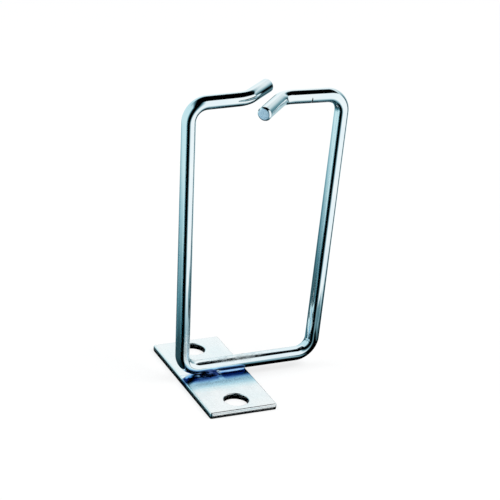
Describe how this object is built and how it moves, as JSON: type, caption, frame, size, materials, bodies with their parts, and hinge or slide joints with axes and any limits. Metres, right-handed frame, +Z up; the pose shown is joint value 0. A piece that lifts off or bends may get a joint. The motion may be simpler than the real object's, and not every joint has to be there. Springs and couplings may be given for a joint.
{
  "type": "cable management hook",
  "caption": "Bent wire cable hook: tall loop with overlapping open ends, welded onto a small flat strip with round fixing holes.",
  "frame": {"origin": "middle of the two fixing holes, on the underside of the plate", "axes": "+Z up through the loop away from the mounting surface, +X along the bottom bar towards the overhanging side, +Y along the plate to the back"},
  "size_m": [0.0495, 0.042, 0.0864],
  "materials": {
    "zinc_wire": "bright zinc plate on drawn steel wire",
    "zinc_plate": "bright zinc plate on cold rolled steel strip",
    "weld_metal": "plated weld metal with a blue heat tint"
  },
  "bodies": {
    "root": {"wire_loop": "zinc_wire", "fixing_plate": "zinc_plate", "weld_bead": "weld_metal"}
  },
  "joints": []
}
